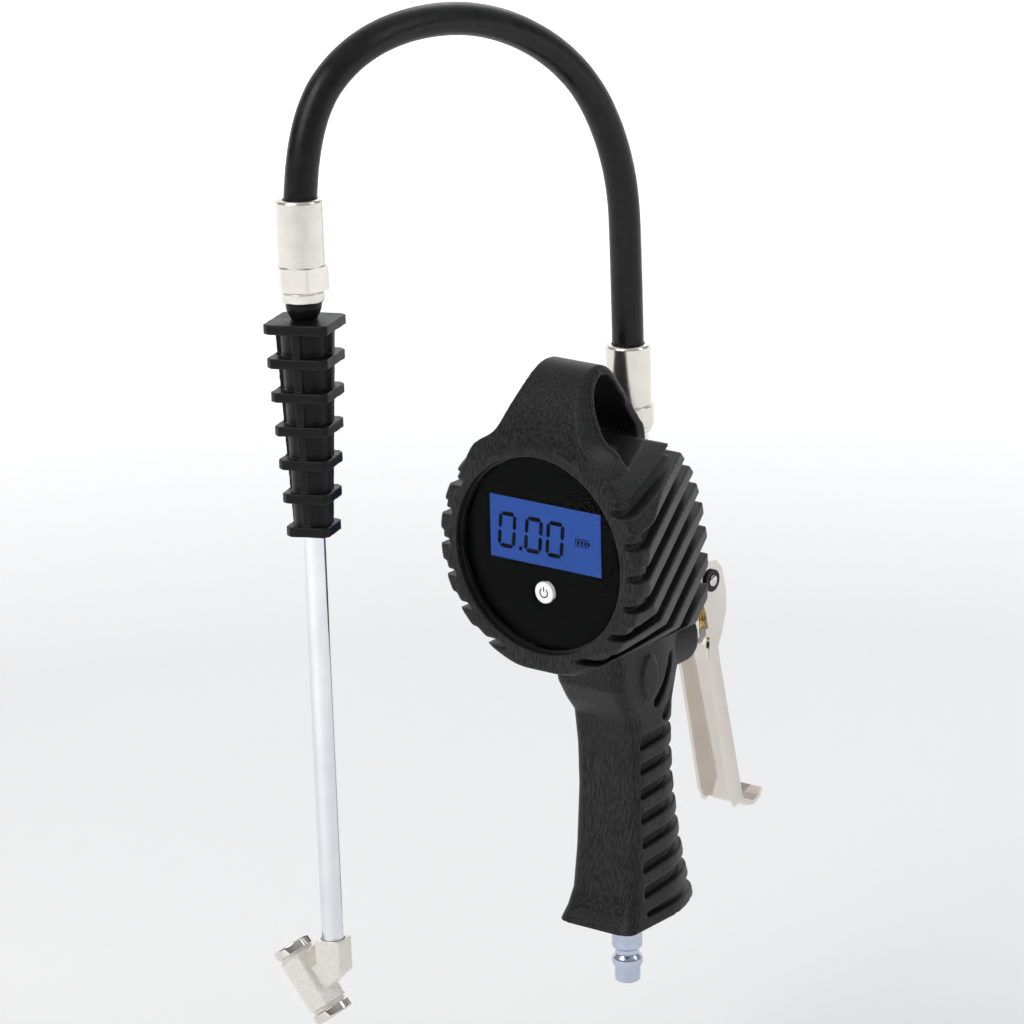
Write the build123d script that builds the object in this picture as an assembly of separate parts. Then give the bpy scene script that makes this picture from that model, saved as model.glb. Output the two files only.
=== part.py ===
from build123d import *
import os
from math import cos, pi, radians, sin, tan

# Hand-held digital tyre inflator: a rubber-booted pistol body with a round gauge head, a lever valve,
# a push-in inlet nipple, and a hose that carries a long wand with a twin tyre chuck.
# Everything is drawn about the centre of the bezel's front edge: +X to the viewer's right,
# +Y away from the viewer, +Z up, in millimetres. At the end it is shifted so that the origin
# is the top of the hanging loop's opening, where a hook would carry the tool.

os.makedirs("parts", exist_ok=True)

# ---------------------------------------------------------------- driving dimensions
BEZEL_R = 38.0              # opening in front of the display
HEAD_R = 47.0               # rib tips of the round head
RIB_DEPTH = 4.8
RIB_PITCH = 12.0
RIB_HEIGHT = 6.0
TOP_RIB_Z = 30.0
CASE_R = 39.3               # gauge case, at the front
CASE_TAIL_R = 27.0          # gauge case, at the back
CASE_DEPTH = 42.0           # back face of the gauge case
CASE_WALL = 2.0
SPINE_Y = 59.0              # hose outlet axis
HANDLE_Y = 51.5             # inlet axis
VALVE_Z = -53.0             # lever valve axis
PIVOT_Y = 99.0              # lever pivot
PIVOT_Z = -35.0
GRIP_BOTTOM_Z = -158.0
GRIP_RIB_PITCH = 10.0
GRIP_RIB_HEIGHT = 5.4
HOSE_D = 12.0
FERRULE_R = 8.5
TUBE_R = 4.0                # wand tube
WAND_TOP = (-28.0, -96.0, 153.6)        # top of the wand's hose ferrule
WAND_UP = (-0.043, 0.036, 1.0)          # direction of the wand, pointing up
GRIP_TURN = 19.9            # wand grip, turned about the wand's axis, degrees
CHUCK_TURN = 11.3           # twin chuck, turned about the wand's axis, degrees
HOOK_Y = 26.0               # bearing point of the hanging loop
HOOK_Z = 65.5
PLUNGER_TIP_Y = 105.3       # clears the lever by about a third of a millimetre
SENSOR_Z = -20.0            # pressure port between the gauge and the casting

FRONT_VIEW = Plane.XZ       # local x = X, local y = Z, extrusions run towards the viewer
SIDE_VIEW = Plane.YZ        # local x = Y, local y = Z, extrusions run to +X


# ---------------------------------------------------------------- helpers
def side_plate(points, half_width):
    """Plate across X with its outline given as (Y, Z) corners."""
    outline = make_face(Polyline(*points, close=True))
    return extrude(SIDE_VIEW * outline, half_width, both=True)


def domed_plate(curve, floor_z, half_width):
    """Plate across X under a smooth curve through (Y, Z) points, closed by a straight floor."""
    ends = Polyline(curve[-1], (curve[-1][0], floor_z), (curve[0][0], floor_z), curve[0])
    return extrude(SIDE_VIEW * make_face(Spline(*curve) + ends), half_width, both=True)


def mirrored(half):
    """Full outline from its right half, listed from bottom to top or front to back."""
    return half + [(-x, v) for x, v in reversed(half)]


def waisted_plate(half, near_y, far_y):
    """Plate between two depths; its right side is a smooth curve through (X, Z) points from the foot up."""
    right = Spline(*half)
    left = Spline(*[(-x, z) for x, z in half])
    foot = Line((-half[0][0], half[0][1]), half[0])
    top = Line(half[-1], (-half[-1][0], half[-1][1]))
    outline = make_face(right + left + foot + top)
    return extrude(FRONT_VIEW.offset(-far_y) * outline, far_y - near_y)


def plan_plate(half, low_z, high_z):
    """Upright prism with its plan given as (half width, Y) corners."""
    outline = make_face(Polyline(*mirrored(half), close=True))
    return extrude(Plane.XY.offset(low_z) * outline, high_z - low_z)


def turned(profile, origin=(0, 0, 0), axis=(0, 1, 0)):
    """Solid of revolution: profile is (radius, height) corners along the axis."""
    outline = make_face(Polyline(*profile, close=True))
    solid = revolve(FRONT_VIEW * outline, Axis.Z)
    return Plane(origin=origin, z_dir=axis) * solid


def rod(radius, start, end):
    """Cylinder between two points."""
    span = Vector(*end) - Vector(*start)
    return Plane(origin=start, z_dir=span) * Cylinder(
        radius, span.length, align=(Align.CENTER, Align.CENTER, Align.MIN))


def pipe(outer, inner, start, end):
    """Tube between two points."""
    return rod(outer, start, end) - rod(inner, start, end)


def block(low, high):
    """Box between two corners."""
    size = [b - a for a, b in zip(low, high)]
    middle = [(a + b) / 2 for a, b in zip(low, high)]
    return Pos(*middle) * Box(*size)


def hexagon(across_flats, start, length, axis):
    """Hexagonal bar with its corners turned down a little."""
    bar = Plane(origin=start, z_dir=axis) * extrude(RegularPolygon(across_flats / 2, 6, False), length)
    corner_r = across_flats * 0.56
    return bar & (Plane(origin=start, z_dir=axis) * Cylinder(
        corner_r, length, align=(Align.CENTER, Align.CENTER, Align.MIN)))


def coil(radius, wire, length, turns, origin, axis):
    """Compression spring."""
    path = Helix(pitch=length / turns, height=length, radius=radius)
    section = Plane(origin=path @ 0, z_dir=path % 0) * Circle(wire)
    return Plane(origin=origin, z_dir=axis) * sweep(section, path=path)


# ---------------------------------------------------------------- rubber boot
HEAD_SIDE = [(0, 48), (28, 43), (45, 37), (67, 20), (79, 4), (85, -11), (86, -24), (84, -42),
             (60, -52), (28, -50), (0, -48)]
TAPER_START = 6.0           # depth at which the ribbed sides begin to draw in
TAPER = 0.383


def head_half_width(depth):
    return HEAD_R - TAPER * max(depth - TAPER_START, 0)


def head_envelope(inset):
    """Round head drawn in towards the back, made smaller all round by inset."""
    rim_r = BEZEL_R + 3.2
    back_y = 92.0
    reach = HEAD_R - inset
    round_part = turned([(0, 0), (rim_r, 0), (max(rim_r, reach - 1.5), 0.4), (reach, 2.4), (reach, back_y),
                         (0, back_y)])
    plan = plan_plate([(HEAD_R - inset, 0), (HEAD_R - inset, TAPER_START),
                       (head_half_width(back_y) - inset, back_y)], -60, 60)
    middle_y = 40.0
    shrink = 1 - inset / HEAD_R
    side = [(middle_y + (y - middle_y) * (1 if y < middle_y else 1 - inset / middle_y), z * shrink)
            for y, z in HEAD_SIDE]
    return round_part & plan & side_plate(side, 60)


def head_rib(level):
    """Plate that runs straight back from the bezel and then rises to the rear tabs."""
    bend_y = 7.0
    rise = 0.26
    far_y = 95.0
    top = level + RIB_HEIGHT / 2
    low = level - RIB_HEIGHT / 2
    climb = (far_y - bend_y) * rise
    return side_plate([(-2, low), (bend_y, low), (far_y, low + climb), (far_y, top + climb),
                       (bend_y, top), (-2, top)], 60)


def front_ledge(level):
    """Low step that half fills the groove under a rib, beside the bezel."""
    top = level - RIB_HEIGHT / 2
    return block((-60, -2, top - 3.4), (60, 6.8, top + 0.1))


def grip_section(z, front_y, rear_y, half_width):
    """Grip cross-section: flat front with round corners, elliptical sides and back."""
    front_r = 5.0
    widest_y = front_y + 0.42 * (rear_y - front_y)
    x = half_width
    edge = Polyline((0, front_y), (x - front_r, front_y))
    edge += RadiusArc((x - front_r, front_y), (x, front_y + front_r), -front_r)
    edge += Line((x, front_y + front_r), (x, widest_y))
    slant = cos(pi / 4)
    edge += Spline((x, widest_y), (x * slant, widest_y + (rear_y - widest_y) * slant), (0, rear_y),
                   tangents=((0, 1), (-1, 0)))
    edge += mirror(edge, Plane.YZ)
    return Plane.XY.offset(z) * make_face(edge)


# (height, front, rear, half width) of the neck and grip, from the chin down to the flared foot
GRIP_STATIONS = [(-44, 26, 81, 16), (-60, 29, 80, 16), (-68, 33.5, 77, 15.7), (-74, 38, 74.5, 15.4),
                 (-88, 39.5, 73.5, 15.2), (-105, 39.5, 74.5, 15.0), (-130, 37.5, 79, 15.2),
                 (-146, 35.8, 83, 15.9), (-153, 33, 85.5, 16.8), (GRIP_BOTTOM_Z, 29.5, 86.5, 17.8)]
GRIP_GROOVE = 3.4           # depth between the finger ribs


def grip_envelope(inset):
    sections = [grip_section(z, front, rear - inset, half - inset)
                for z, front, rear, half in GRIP_STATIONS]
    return loft(sections, ruled=True)


def grip_rib(level):
    """Slab of one finger rib, rising a little towards the back."""
    near_y = 28.0
    far_y = 92.0
    climb = 5.0
    half = GRIP_RIB_HEIGHT / 2
    return side_plate([(near_y, level - half), (far_y, level - half + climb), (far_y, level + half + climb),
                       (near_y, level + half)], 24)


def grip_body():
    """Smooth front, finger ribs round the sides and the back."""
    outer = grip_envelope(0)
    body = grip_envelope(GRIP_GROOVE)
    smooth_front = block((-20, 0, GRIP_BOTTOM_Z), (20, 42.5, -40))
    smooth_top = block((-20, 0, -80.5), (20, 100, -40))
    smooth_foot = block((-20, 0, GRIP_BOTTOM_Z), (20, 100, -154))
    body += outer & (smooth_front + smooth_top + smooth_foot)
    first_rib_z = -90.5
    for index in range(7):
        body += outer & grip_rib(first_rib_z - GRIP_RIB_PITCH * index)
    return body


LOOP_OUTSIDE = [(0.5, 34), (1.6, 42.5), (5.0, 53), (11, 62.4), (18, 67.9), (25, 69.3), (31.5, 67.0),
                (37.4, 60), (42.7, 51.5), (49.2, 41)]
LOOP_OPENING = [(14.5, 30), (14.8, 44), (15.6, 53), (18.5, 61), (22, 64.6), (HOOK_Y, HOOK_Z), (30, 64),
                (34, 59), (38, 52.5), (44, 42)]


def loop_width(grow):
    """Front outlines of the loop's broad front strap and of its narrow back strap."""
    front = [(33, 24), (32.4, 34), (28.5, 39.5), (21.5, 44), (17, 51.5), (13.6, 60), (11, 72)]
    rear = [(16, 24), (14.4, 40), (12.6, 54), (11, 72)]
    width = waisted_plate([(x + grow, z) for x, z in front], -1, 24)
    return width + waisted_plate([(x + grow, z) for x, z in rear], 23, 54)


def hanging_loop():
    """Wide strap from the bezel over the top to the back of the head, with a raised lip round its opening."""
    lip_width = 2.6
    lip_height = 1.2
    lip_edge = [(y + (y - 30) * 0.11, z + lip_width) for y, z in LOOP_OPENING[1:-1]]
    outside = domed_plate(LOOP_OUTSIDE, 30, 36)
    strap = outside & loop_width(0)
    lip = outside & domed_plate(lip_edge, 40, 36) & loop_width(lip_height)
    return strap + lip - domed_plate(LOOP_OPENING, 28, 40)


def neck_slot(start, middle, end, width):
    """Pair of curved grooves, one in each side of the neck."""
    outline = SlotArc(ThreePointArc(start, middle, end), width)
    groove = extrude(SIDE_VIEW * outline, 25, both=True)
    return groove - block((-12.3, 0, -120), (12.3, 120, 0))


def rubber_boot():
    boot = head_envelope(RIB_DEPTH)
    ribs = head_rib(TOP_RIB_Z)
    ledges = front_ledge(TOP_RIB_Z)
    for index in range(1, 9):
        ribs += head_rib(TOP_RIB_Z - RIB_PITCH * index)
        ledges += front_ledge(TOP_RIB_Z - RIB_PITCH * index)
    boot += head_envelope(0) & ribs
    boot += head_envelope(1.5) & ledges
    rim = turned([(BEZEL_R, 0.6), (BEZEL_R + 0.6, 0), (BEZEL_R + 2.6, 0), (BEZEL_R + 3.2, 0.6),
                  (BEZEL_R + 4.2, 6), (BEZEL_R, 6)])
    boot += rim
    boot += grip_body()
    boot += hanging_loop()
    boot += rod(12.5, (0, 50, VALVE_Z), (0, 84.5, VALVE_Z))
    boot -= turned([(0, -1), (BEZEL_R, -1), (BEZEL_R, 3), (CASE_R, 3), (CASE_R, 8),
                    (CASE_TAIL_R, CASE_DEPTH), (0, CASE_DEPTH)])
    boot -= spine_outline()
    boot -= rod(3.2, (0, 41, SENSOR_Z), (0, 50, SENSOR_Z))
    boot -= block((-7.5, 66, -41), (7.5, 100, 10))
    boot -= neck_slot((63.5, -54.5), (59.5, -62), (52.5, -69.5), 3.8)
    boot -= neck_slot((72.5, -57.5), (67.5, -68), (58.5, -76.5), 4.2)
    for side in (-1, 1):
        pad = Plane(origin=(side * 14.5, 47, -58), z_dir=(side, 0, 0)) * extrude(Ellipse(9.0, 5.0), 2.7)
        boot += pad
    return boot


# ---------------------------------------------------------------- gauge
def gauge_case():
    """Bowl that holds the electronics, open to the front."""
    outside = turned([(0, 3), (CASE_R, 3), (CASE_R, 8), (CASE_TAIL_R, CASE_DEPTH), (0, CASE_DEPTH)])
    slope = (CASE_R - CASE_TAIL_R) / (CASE_DEPTH - 8)
    inside_r = CASE_R - CASE_WALL
    floor_y = CASE_DEPTH - 2.5
    inside = turned([(0, 2), (inside_r, 2), (inside_r, 8), (inside_r - slope * (floor_y - 8), floor_y),
                     (0, floor_y)])
    door_hole = block((-23, 39, -14), (23, 43, 14))
    sensor_port = rod(3.0, (0, 38, SENSOR_Z), (0, 43, SENSOR_Z))
    return outside - inside - door_hole - sensor_port


DOOR_SCREWS = [(x, z) for x in (-18.0, 18.0) for z in (-10.8, 10.8)]
SCREW_R = 1.2
SCREW_HEAD_R = 2.2


def battery_door():
    """Lid over the cells, screwed down through four counterbored holes."""
    door = block((-22.8, 39.7, -13.8), (22.8, CASE_DEPTH - 0.2, 13.8))
    for x, z in DOOR_SCREWS:
        door -= rod(SCREW_R + 0.1, (x, 30, z), (x, 50, z))
        door -= rod(SCREW_HEAD_R + 0.1, (x, 40.7, z), (x, 50, z))
    return door


def door_screws():
    """Four small screws that hold the battery door to its posts."""
    screws = []
    for x, z in DOOR_SCREWS:
        screws.append(rod(SCREW_R, (x, 33, z), (x, 41, z)) + rod(SCREW_HEAD_R, (x, 40.7, z), (x, 41.8, z)))
    return Compound(screws)


LCD_CENTRE_Z = 6.8
LCD_HALF = (25.75, 12.25)
BUTTON_Z = -15.2
BUTTON_R = 4.2


def lens():
    disc = rod(37.2, (0, 4, 0), (0, 5.4, 0))
    return disc - rod(BUTTON_R + 0.2, (0, 3, BUTTON_Z), (0, 7, BUTTON_Z))


def lens_gasket():
    return pipe(37.25, 35.5, (0, 6.5, 0), (0, 7.6, 0))


def faceplate():
    """Black printed mask behind the lens, cut out for the display and the button."""
    x, z = LCD_HALF
    window = block((-x, 5, LCD_CENTRE_Z - z), (x, 8, LCD_CENTRE_Z + z))
    button_hole = rod(BUTTON_R + 0.2, (0, 3, BUTTON_Z), (0, 8, BUTTON_Z))
    return rod(37.2, (0, 5.45, 0), (0, 6.45, 0)) - window - button_hole


def lcd_panel():
    x, z = LCD_HALF
    glass = block((-x + 0.1, 5.5, LCD_CENTRE_Z - z + 0.1), (x - 0.1, 6.5, LCD_CENTRE_Z + z - 0.1))
    return glass + block((-x - 2.5, 6.5, LCD_CENTRE_Z - z - 1.2), (x + 2.5, 9.5, LCD_CENTRE_Z + z + 2.2))


def power_button():
    cap = rod(BUTTON_R, (0, 3.6, BUTTON_Z), (0, 9.5, BUTTON_Z))
    flange = rod(BUTTON_R + 1.2, (0, 7.3, BUTTON_Z), (0, 8.3, BUTTON_Z))
    return cap + flange


def button_switch():
    base = block((-3, 11.0, BUTTON_Z - 3), (3, 13.9, BUTTON_Z + 3))
    return base + rod(1.6, (0, 10.4, BUTTON_Z), (0, 11.0, BUTTON_Z))


def circuit_board():
    board = rod(34.0, (0, 14, 0), (0, 15.6, 0))
    chip = block((-5, 12.2, -30), (5, 14, -22))
    header = block((10, 12.0, -24), (24, 14, -20))
    return board + chip + header


def battery_holder():
    """Tray for the two cells, with a post in each corner for the door's screws."""
    tray = block((-25.5, 16, -13.5), (25.5, 31, 13.5)) + block((-21, 31, -13.5), (21, 39.5, 13.5))
    tray -= block((-24, 18.4, -12.5), (24, 40, 12.5))
    for x, z in DOOR_SCREWS:
        tray += rod(2.7, (x, 30.5, z), (x, 39.5, z))
        tray -= rod(SCREW_R + 0.05, (x, 30, z), (x, 40, z))
    return tray


def battery(level):
    """AAA cell lying across the head."""
    half_length = 21.6
    cell = rod(5.0, (-half_length, 24.2, level), (half_length, 24.2, level))
    return cell + rod(1.9, (half_length, 24.2, level), (half_length + 0.9, 24.2, level))


def battery_contacts():
    strips = []
    for x in (-23.6, 23.1):
        strips.append(block((x, 19.5, -11.5), (x + 0.5, 29, 11.5)))
    return Compound(strips)


def pressure_sensor():
    can = rod(5.8, (0, 15.7, SENSOR_Z), (0, 26, SENSOR_Z))
    stem = rod(2.4, (0, 26, SENSOR_Z), (0, 50.5, SENSOR_Z))
    return can + stem


def sensor_seal():
    return pipe(3.0, 2.45, (0, 46.6, SENSOR_Z), (0, 49.0, SENSOR_Z))


# ---------------------------------------------------------------- air path and valve
def spine_outline():
    """Outer shape of the cast valve body."""
    column = rod(9.5, (0, SPINE_Y, -62), (0, SPINE_Y, 38))
    column += rod(9.5, (0, HANDLE_Y, -80), (0, HANDLE_Y, -46))
    column += block((-7, 46, -62), (7, 62, 8))
    column += rod(9.5, (0, 48, VALVE_Z), (0, 86, VALVE_Z))
    column += side_plate([(60, 8), (84, 4), (86, -12), (88, -28), (88, -46), (60, -50)], 6.0)
    column += rod(7.5, (0, HANDLE_Y, GRIP_BOTTOM_Z - 1), (0, HANDLE_Y, -79))
    return column


def valve_body():
    """Nickel-plated casting: outlet column, valve chamber and the lug for the lever."""
    body = rod(9.3, (0, SPINE_Y, -61.8), (0, SPINE_Y, 29.8))
    body += rod(9.3, (0, HANDLE_Y, -79.8), (0, HANDLE_Y, -46))
    body += block((-6.8, 46.2, -61.8), (6.8, 62, 7.8))
    body += rod(9.3, (0, 48.2, VALVE_Z), (0, 85.8, VALVE_Z))
    body += side_plate([(60, 7.8), (83.8, 3.8), (85.8, -12), (90, -26), (PIVOT_Y, -29), (PIVOT_Y, -41),
                        (90, -46), (60, -50)], 5.8)
    body += rod(6.0, (-5.8, PIVOT_Y, PIVOT_Z), (5.8, PIVOT_Y, PIVOT_Z))
    body -= rod(1.6, (-8, PIVOT_Y, PIVOT_Z), (8, PIVOT_Y, PIVOT_Z))
    body -= rod(3.5, (0, SPINE_Y, -56), (0, SPINE_Y, 18))
    body -= rod(5.5, (0, SPINE_Y, 18), (0, SPINE_Y, 31))
    body -= rod(6.0, (0, 62, VALVE_Z), (0, 90, VALVE_Z))
    body -= rod(3.0, (0, 50, VALVE_Z), (0, 62.5, VALVE_Z))
    body -= rod(7.5, (0, HANDLE_Y, -81), (0, HANDLE_Y, -66))
    body -= rod(4.5, (0, HANDLE_Y, -67), (0, HANDLE_Y, -52))
    body -= rod(3.05, (0, 44, SENSOR_Z), (0, 56, SENSOR_Z))
    body -= rod(4.0, (0, 76, -2), (0, 90, -2))
    return body


def rear_plug():
    """Hexagon plug that closes the cross drilling in the back of the casting."""
    return rod(3.9, (0, 77, -2), (0, 85.5, -2)) + hexagon(11, (0, 86, -2), 5.5, (0, 1, 0)) \
        + rod(3.9, (0, 85.5, -2), (0, 86, -2))


def handle_tube():
    return pipe(7.4, 4.5, (0, HANDLE_Y, -150), (0, HANDLE_Y, -66.2))


def inlet_nipple():
    """Push-in coupling nipple, nominal width 7.2."""
    profile = [(2.8, -186), (4.6, -186), (5.0, -185.4), (5.0, -180.4), (5.3, -179.6), (6.0, -178.6),
               (6.0, -176.4), (5.2, -175.2), (4.6, -174.8), (4.6, -173.2), (5.95, -172), (5.95, -160),
               (7.4, -159), (7.4, -151.4), (4.4, -151.4), (4.4, -140), (2.8, -140)]
    return turned(profile, (0, HANDLE_Y, 0), (0, 0, 1))


def nipple_seal():
    return pipe(7.4, 4.5, (0, HANDLE_Y, -151.3), (0, HANDLE_Y, -150.1))


def valve_seat():
    return pipe(5.9, 2.9, (0, 62.3, VALVE_Z), (0, 64.3, VALVE_Z))


def plunger_seal():
    return pipe(5.9, 2.25, (0, 81.0, VALVE_Z), (0, 83.0, VALVE_Z))


def valve_plunger():
    """Brass plunger that the lever pushes in."""
    body = rod(2.2, (0, 60, VALVE_Z), (0, PLUNGER_TIP_Y, VALVE_Z))
    body += rod(3.4, (0, 88, VALVE_Z), (0, 103.6, VALVE_Z))
    for index in range(3):
        y = 97.6 + 1.8 * index
        body -= pipe(3.6, 2.9, (0, y, VALVE_Z), (0, y + 0.7, VALVE_Z))
    return body + rod(4.9, (0, 72.5, VALVE_Z), (0, 74.1, VALVE_Z))


def plunger_spring():
    return coil(3.9, 0.45, 6.6, 4, (0, 65.2, VALVE_Z), (0, 1, 0))


def gland_nut():
    """Threaded bush that closes the valve chamber and guides the plunger."""
    nut = rod(5.9, (0, 84.2, VALVE_Z), (0, 86.2, VALVE_Z)) + hexagon(14, (0, 86.2, VALVE_Z), 6, (0, 1, 0))
    return nut - rod(3.5, (0, 84, VALVE_Z), (0, 94, VALVE_Z)) \
        - block((-12, 86, VALVE_Z + 5.6), (12, 93, VALVE_Z + 20))


# ---------------------------------------------------------------- lever
LEVER_HALF = 8.0
LEVER_SHEET = 1.5


def lever():
    """Sheet-metal channel with two ears, hinged at the top, curled at the bottom."""
    outside = [(PIVOT_Y - 5.5, -29.5), (PIVOT_Y - 1, -27), (PIVOT_Y + 4, -27.8), (PIVOT_Y + 7.6, -32),
               (109, -42), (109, -49), (106, -58), (103.4, -63), (104.5, -70), (117.2, -124),
               (117.4, -130.5), (113.5, -132.5), (110.5, -127), (99.5, -74), (97, -66), (97.8, -58),
               (95.6, -48), (92.6, -40), (92.0, -34)]
    inside = [(0, 0), (0, -46.5), (107.5, -46.5), (107.5, -49), (104.6, -58), (101.9, -63), (103, -70),
              (115.7, -124), (115.9, -140), (0, -140)]
    body = side_plate(outside, LEVER_HALF)
    body -= side_plate(inside, LEVER_HALF - LEVER_SHEET)
    body -= side_plate([(0, 0), (0, -46.5), (130, -46.5), (130, 0)], LEVER_HALF - LEVER_SHEET)
    body -= rod(1.7, (-12, PIVOT_Y, PIVOT_Z), (12, PIVOT_Y, PIVOT_Z))
    curl = [(115.9, -124), (117.4, -124), (118.4, -129.5), (121.5, -132.6), (125.6, -133.6), (129, -132.2),
            (130.6, -129.4), (132, -130), (130.4, -133.6), (126, -135.3), (120.8, -134.2), (117, -130.6)]
    return body + side_plate(curl, LEVER_HALF)


def pivot_pin():
    return rod(1.5, (-9.6, PIVOT_Y, PIVOT_Z), (9.6, PIVOT_Y, PIVOT_Z))


def pin_clips():
    """A snap ring on each end of the pivot pin."""
    rings = []
    for side in (-1, 1):
        rings.append(pipe(4.4, 1.55, (side * 8.2, PIVOT_Y, PIVOT_Z), (side * 9.0, PIVOT_Y, PIVOT_Z)))
    return Compound(rings)


# ---------------------------------------------------------------- hose and its fittings
def outlet_adapter():
    """Threaded union between the casting and the hose ferrule."""
    neck = rod(5.4, (0, SPINE_Y, 18.5), (0, SPINE_Y, 30)) + rod(7.0, (0, SPINE_Y, 30.2), (0, SPINE_Y, 34.3))
    neck += rod(5.4, (0, SPINE_Y, 30), (0, SPINE_Y, 30.2))
    return neck - rod(3.0, (0, SPINE_Y, 18), (0, SPINE_Y, 35))


def ferrule(base, top):
    """Crimped hose ferrule, bored for the hose from the top; base and top are on its axis."""
    base = Vector(*base)
    top = Vector(*top)
    along = (top - base).normalized()
    body = rod(FERRULE_R, tuple(base), tuple(top))
    body -= rod(HOSE_D / 2 + 0.1, tuple(top - along * HOSE_SEAT), tuple(top + along))
    return body - rod(3.0, tuple(base - along), tuple(top))


HOSE_SEAT = 16.0            # depth of hose inside a ferrule
BODY_FERRULE_TOP = (0, SPINE_Y, 68.3)


def body_ferrule():
    collar_low = 36.6
    collar_high = 44.8
    collar = pipe(FERRULE_R + 0.8, 3.0, (0, SPINE_Y, collar_low), (0, SPINE_Y, collar_high))
    return ferrule((0, SPINE_Y, 34.4), BODY_FERRULE_TOP) + collar


def wand_point(drop):
    """Point on the wand's axis, a distance below the top of its ferrule."""
    return tuple(Vector(*WAND_TOP) - Vector(*WAND_UP).normalized() * drop)


def hose_route():
    """Corner points of the hose's centre line: up from the body, over, and down to the wand."""
    span = Vector(WAND_TOP[0], WAND_TOP[1], 0) - Vector(0, SPINE_Y, 0)
    reach = span.length

    def over(distance, height):
        spot = Vector(0, SPINE_Y, 0) + span * (distance / reach)
        return (spot.X, spot.Y, height)

    return [(0, SPINE_Y, BODY_FERRULE_TOP[2] - HOSE_SEAT), (0, SPINE_Y, 93.0), over(1.4, 139.5),
            over(23.6, 180.3), over(71.5, 207.0), over(126.5, 206.8), wand_point(-25.0),
            wand_point(HOSE_SEAT)]


def corner_radii(points):
    """Largest tangent arc that each corner of the route leaves room for."""
    radii = []
    for before, here, after in zip(points, points[1:], points[2:]):
        arriving = Vector(*here) - Vector(*before)
        leaving = Vector(*after) - Vector(*here)
        half_turn = radians(arriving.get_angle(leaving)) / 2
        radii.append(0.45 * min(arriving.length, leaving.length) / tan(half_turn))
    return radii


def hose():
    points = hose_route()
    radii = corner_radii(points)
    path = FilletPolyline(*points, radius=radii)
    section = Plane(origin=points[0], z_dir=(0, 0, 1)) * Circle(HOSE_D / 2)
    solid = sweep(section, path=path)
    print("hose radii", [round(r, 1) for r in radii])
    print("hose length", round(path.length, 1), "volume ratio",
          round(solid.volume / (path.length * pi * HOSE_D ** 2 / 4), 4))
    return solid


# ---------------------------------------------------------------- wand
def wand_frame(turn):
    """Frame on the wand's axis: z up the wand, -y out of the front face, zero at the ferrule's top."""
    return Plane(origin=WAND_TOP, x_dir=(cos(radians(turn)), sin(radians(turn)), 0), z_dir=WAND_UP)


def wand_ferrule():
    return ferrule(wand_point(28.0), WAND_TOP)


def swivel_nut():
    """Hexagon nut that lets the wand turn under the ferrule."""
    nut = hexagon(17.4, (0, 0, 0), 8.6, (0, 0, 1))
    return wand_frame(GRIP_TURN) * (Pos(0, 0, -32.6) * nut - rod(3, (0, 0, -40), (0, 0, 0))
                                    - rod(FERRULE_R + 0.05, (0, 0, -28.05), (0, 0, 0)))


def swivel_ring():
    ring = turned([(3, -37.4), (7.2, -37.4), (7.7, -36.6), (7.7, -32.7), (3, -32.7)], axis=(0, 0, 1))
    return wand_frame(GRIP_TURN) * ring


def grip_cone():
    """Rubber cone that covers the joint between the swivel and the grip."""
    cone = turned([(4.05, -43.4), (4.6, -43.4), (6.2, -40), (6.5, -37.5), (4.05, -37.5)], axis=(0, 0, 1))
    return wand_frame(GRIP_TURN) * cone


GRIP_TOP = -43.5
GRIP_LENGTH = 78.0
FLANGES = 7
FLANGE_HEIGHT = 3.6


def chamfered_square(side, corner):
    half = side / 2
    near = half - corner
    points = [(half, -near), (half, near), (near, half), (-near, half), (-half, near), (-half, -near),
              (-near, -half), (near, -half)]
    return make_face(Polyline(*points, close=True))


def flange_side(z):
    """Flanges shrink evenly from the top of the grip to the bottom."""
    return 24.0 - 8.0 * (GRIP_TOP - z) / GRIP_LENGTH


def wand_grip():
    """Moulded sleeve: square flanges and four bars round a tapered round core."""
    pitch = (GRIP_LENGTH - FLANGE_HEIGHT) / (FLANGES - 1)
    bottom = GRIP_TOP - GRIP_LENGTH
    bar_width = 3.2
    bar_inset = 1.0
    grip = Pos(0, 0, (bottom + GRIP_TOP) / 2) * Cone(6.6, 9.0, GRIP_LENGTH)
    for turn in (0, 90):
        ends = [Plane.XY.offset(z) * Rectangle(flange_side(z) - 2 * bar_inset, bar_width)
                for z in (bottom, GRIP_TOP)]
        grip += Rot(0, 0, turn) * loft(ends)
    for index in range(FLANGES):
        top = GRIP_TOP - pitch * index
        grip += extrude(Plane.XY.offset(top - FLANGE_HEIGHT) * chamfered_square(flange_side(top), 2.0),
                        FLANGE_HEIGHT)
    grip -= rod(TUBE_R, (0, 0, bottom - 1), (0, 0, GRIP_TOP + 1))
    return wand_frame(GRIP_TURN) * grip


SOCKET_TOP = -274.1
SOCKET_SEAT = SOCKET_TOP - 5.0


def wand_tube():
    return wand_frame(GRIP_TURN) * pipe(TUBE_R, 2.8, (0, 0, SOCKET_SEAT), (0, 0, -37.5))


BARREL_TILT = 34.0          # lean of the barrel from the wand's axis, degrees
BARREL_X = -9.0             # barrel's centre from the wand's axis
BARREL_DROP = 16.9          # barrel's centre below the socket's top
BARREL_HALF = 10.4
CAP_END = 15.5              # outer faces of the ring nuts from the barrel's centre


def barrel_frame():
    """Frame on the chuck barrel's axis in the wand's own frame, z towards the upper mouth."""
    tilt = radians(BARREL_TILT)
    return Plane(origin=(BARREL_X, 0, SOCKET_TOP - BARREL_DROP), x_dir=(cos(tilt), 0, sin(tilt)),
                 z_dir=(-sin(tilt), 0, cos(tilt))).location


def on_barrel(shape):
    return wand_frame(CHUCK_TURN).location * barrel_frame() * shape


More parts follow.
